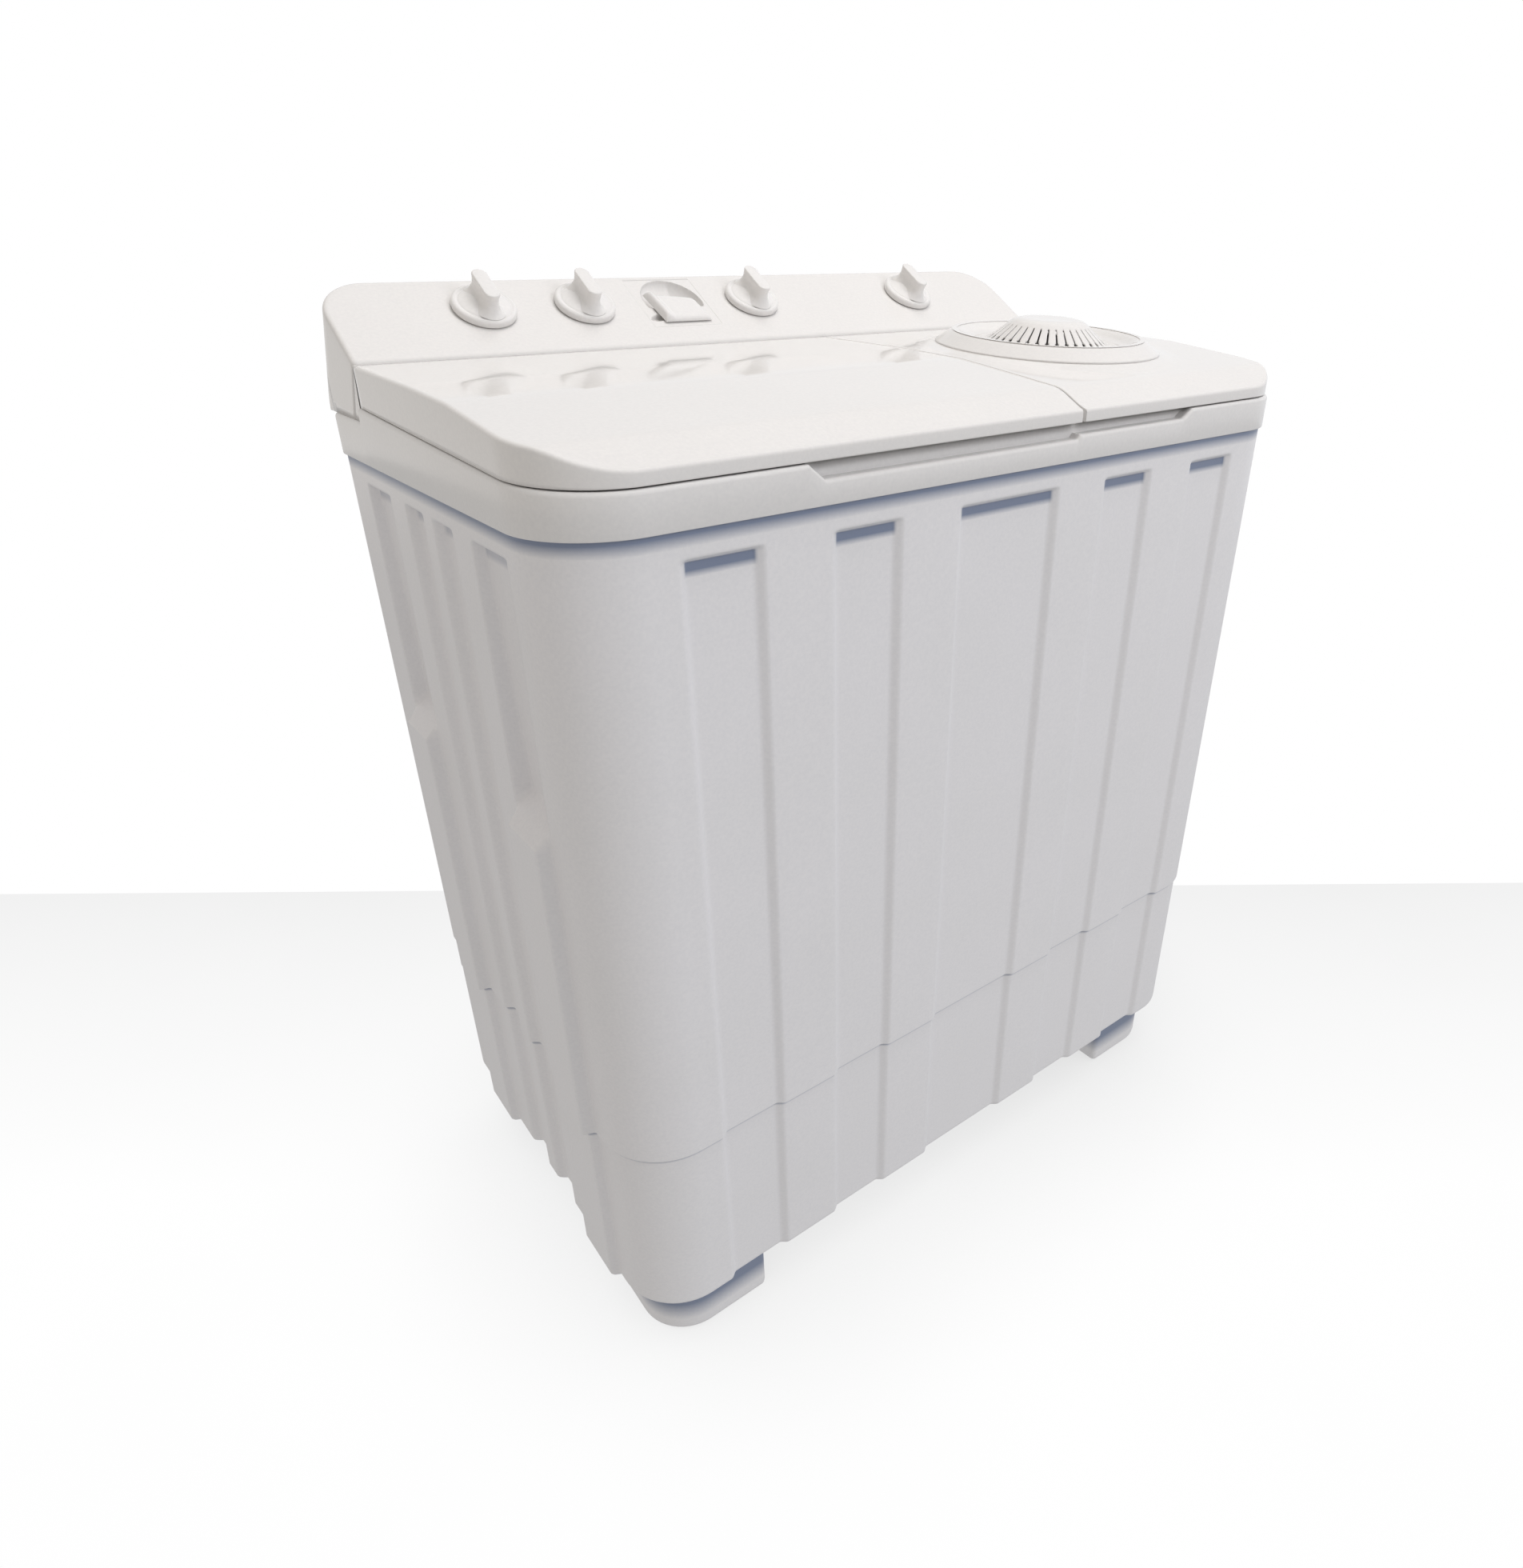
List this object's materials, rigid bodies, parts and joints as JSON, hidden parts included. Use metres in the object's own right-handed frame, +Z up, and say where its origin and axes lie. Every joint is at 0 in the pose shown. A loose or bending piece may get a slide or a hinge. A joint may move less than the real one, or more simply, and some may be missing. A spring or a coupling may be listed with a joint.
{
  "type": "twin tub washer",
  "caption": "Freestanding twin tub washer: wash tub with pulsator, spin basket, hinged lids, sloped control panel with knobs, on moulded legs.",
  "frame": {"origin": "middle of the footprint, on the floor", "axes": "+Z up, +X to the washer's right with the spin side, -Y to its front"},
  "size_m": [0.822, 0.476, 0.956],
  "materials": {
    "casing_plastic": "satin moulded polypropylene",
    "frame_plastic": "satin moulded polypropylene",
    "lid_plastic": "polished moulded plastic",
    "panel_plastic": "polished moulded plastic",
    "knob_plastic": "polished moulded plastic",
    "tub_plastic": "smooth moulded polypropylene",
    "pulsator_plastic": "smooth moulded plastic",
    "inner_plastic": "plain moulded plastic",
    "foot_rubber": "matt",
    "black_rubber": "matt",
    "bright_steel": "ground",
    "zinc_steel": "zinc plated",
    "basket_steel": "rolled and pierced stainless steel",
    "cover_steel": "painted sheet",
    "motor_steel": "painted",
    "cast_aluminium": "die cast"
  },
  "bodies": {
    "casing": {"cabinet": "casing_plastic", "base": "casing_plastic", "foot_pad_front_left": "foot_rubber", "foot_pad_front_right": "foot_rubber", "foot_pad_back_right": "foot_rubber", "foot_pad_back_left": "foot_rubber", "rear_cover": "cover_steel", "casing_screws": "zinc_steel", "cord_gland": "black_rubber", "top_frame": "frame_plastic", "control_panel": "panel_plastic", "control_box_rear": "panel_plastic", "wash_timer": "inner_plastic", "wash_selector_switch": "inner_plastic", "drain_selector_bracket": "inner_plastic", "spin_timer": "inner_plastic", "inlet_bowl": "panel_plastic", "inlet_chute": "inner_plastic", "wash_tub": "tub_plastic", "overflow_grid": "tub_plastic", "wash_gearbox": "cast_aluminium", "v_belt": "black_rubber", "wash_motor": "motor_steel", "motor_bracket": "cover_steel", "spin_case": "tub_plastic", "spin_boot": "black_rubber", "spin_motor": "motor_steel", "motor_buffers": "black_rubber", "drain_valve": "tub_plastic", "spin_drain_pipe": "tub_plastic", "drain_spout": "tub_plastic", "capacitors": "inner_plastic"},
    "wash_lid": {"wash_lid": "lid_plastic", "wash_lid_pins": "bright_steel"},
    "spin_lid": {"spin_lid": "lid_plastic", "spin_lid_pins": "bright_steel", "spin_vent_grille": "lid_plastic"},
    "wash_timer_knob": {"wash_timer_knob": "knob_plastic", "wash_timer_stem": "zinc_steel"},
    "wash_selector_knob": {"wash_selector_knob": "knob_plastic", "wash_selector_stem": "zinc_steel"},
    "drain_selector_knob": {"drain_selector_knob": "knob_plastic", "drain_selector_stem": "inner_plastic"},
    "spin_timer_knob": {"spin_timer_knob": "knob_plastic", "spin_timer_stem": "zinc_steel"},
    "water_selector": {"water_selector_lever": "knob_plastic"},
    "pulsator": {"pulsator": "pulsator_plastic", "pulsator_screw": "bright_steel", "pulsator_shaft": "bright_steel", "driven_pulley": "inner_plastic"},
    "motor_pulley": {"motor_pulley": "cast_aluminium", "wash_motor_shaft": "bright_steel"},
    "lint_filter": {"lint_filter": "tub_plastic"},
    "spin_basket": {"spin_basket": "basket_steel", "spin_press_disc": "tub_plastic", "spin_shaft": "bright_steel", "brake_drum": "cast_aluminium"},
    "brake_lever": {"brake_lever": "zinc_steel", "brake_pad": "black_rubber"},
    "drain_plunger": {"drain_plunger": "black_rubber"}
  },
  "joints": [
    {"name": "wash_lid_hinge", "type": "hinge", "parent": "casing", "child": "wash_lid", "pos_m": [0, 0.1223, 0.8819], "axis": [-1, 0, 0], "range_deg": [0, 95]},
    {"name": "spin_lid_hinge", "type": "hinge", "parent": "casing", "child": "spin_lid", "pos_m": [0, 0.1223, 0.8819], "axis": [-1, 0, 0], "range_deg": [0, 95]},
    {"name": "wash_timer_knob_turn", "type": "hinge", "parent": "casing", "child": "wash_timer_knob", "pos_m": [-0.264, 0.18147, 0.91897], "axis": [0, 0.5299, -0.848], "range_deg": [0, 300]},
    {"name": "wash_selector_knob_turn", "type": "hinge", "parent": "casing", "child": "wash_selector_knob", "pos_m": [-0.165, 0.18147, 0.91897], "axis": [0, 0.5299, -0.848], "range_deg": [-45, 45]},
    {"name": "drain_selector_knob_turn", "type": "hinge", "parent": "casing", "child": "drain_selector_knob", "pos_m": [0.027, 0.18147, 0.91897], "axis": [0, 0.5299, -0.848], "range_deg": [0, 90]},
    {"name": "spin_timer_knob_turn", "type": "hinge", "parent": "casing", "child": "spin_timer_knob", "pos_m": [0.248, 0.18147, 0.91897], "axis": [0, 0.5299, -0.848], "range_deg": [0, 270]},
    {"name": "water_selector_turn", "type": "hinge", "parent": "casing", "child": "water_selector", "pos_m": [-0.068, 0.1679, 0.9105], "axis": [0, 0.5299, -0.848], "range_deg": [0, 40]},
    {"name": "pulsator_spin", "type": "hinge", "parent": "casing", "child": "pulsator", "pos_m": [-0.156, -0.049, 0.36], "axis": [0, 0, 1], "continuous": true},
    {"name": "motor_pulley_spin", "type": "hinge", "parent": "casing", "child": "motor_pulley", "pos_m": [0.012, 0.032, 0.224], "axis": [0, 0, 1], "continuous": true},
    {"name": "lint_filter_lift", "type": "slide", "parent": "casing", "child": "lint_filter", "axis": [0, 0, 1], "range_m": [0, 0.1]},
    {"name": "basket_spin", "type": "hinge", "parent": "casing", "child": "spin_basket", "pos_m": [0.23, -0.05, 0.42], "axis": [0, 0, 1], "continuous": true},
    {"name": "brake_lever_swing", "type": "hinge", "parent": "casing", "child": "brake_lever", "pos_m": [0.158, 0.008, 0.341], "axis": [0, 0, 1], "range_deg": [0, 4.4]},
    {"name": "drain_plunger_lift", "type": "slide", "parent": "casing", "child": "drain_plunger", "axis": [0, 0, 1], "range_m": [0, 0.0181]}
  ],
  "couplings": [
    {"joint": "motor_pulley_spin", "follows": "pulsator_spin", "ratio": 4.1},
    {"joint": "brake_lever_swing", "follows": "spin_lid_hinge", "ratio": 0.04421},
    {"joint": "drain_plunger_lift", "follows": "drain_selector_knob_turn", "m_per_rad": 0.011459}
  ]
}
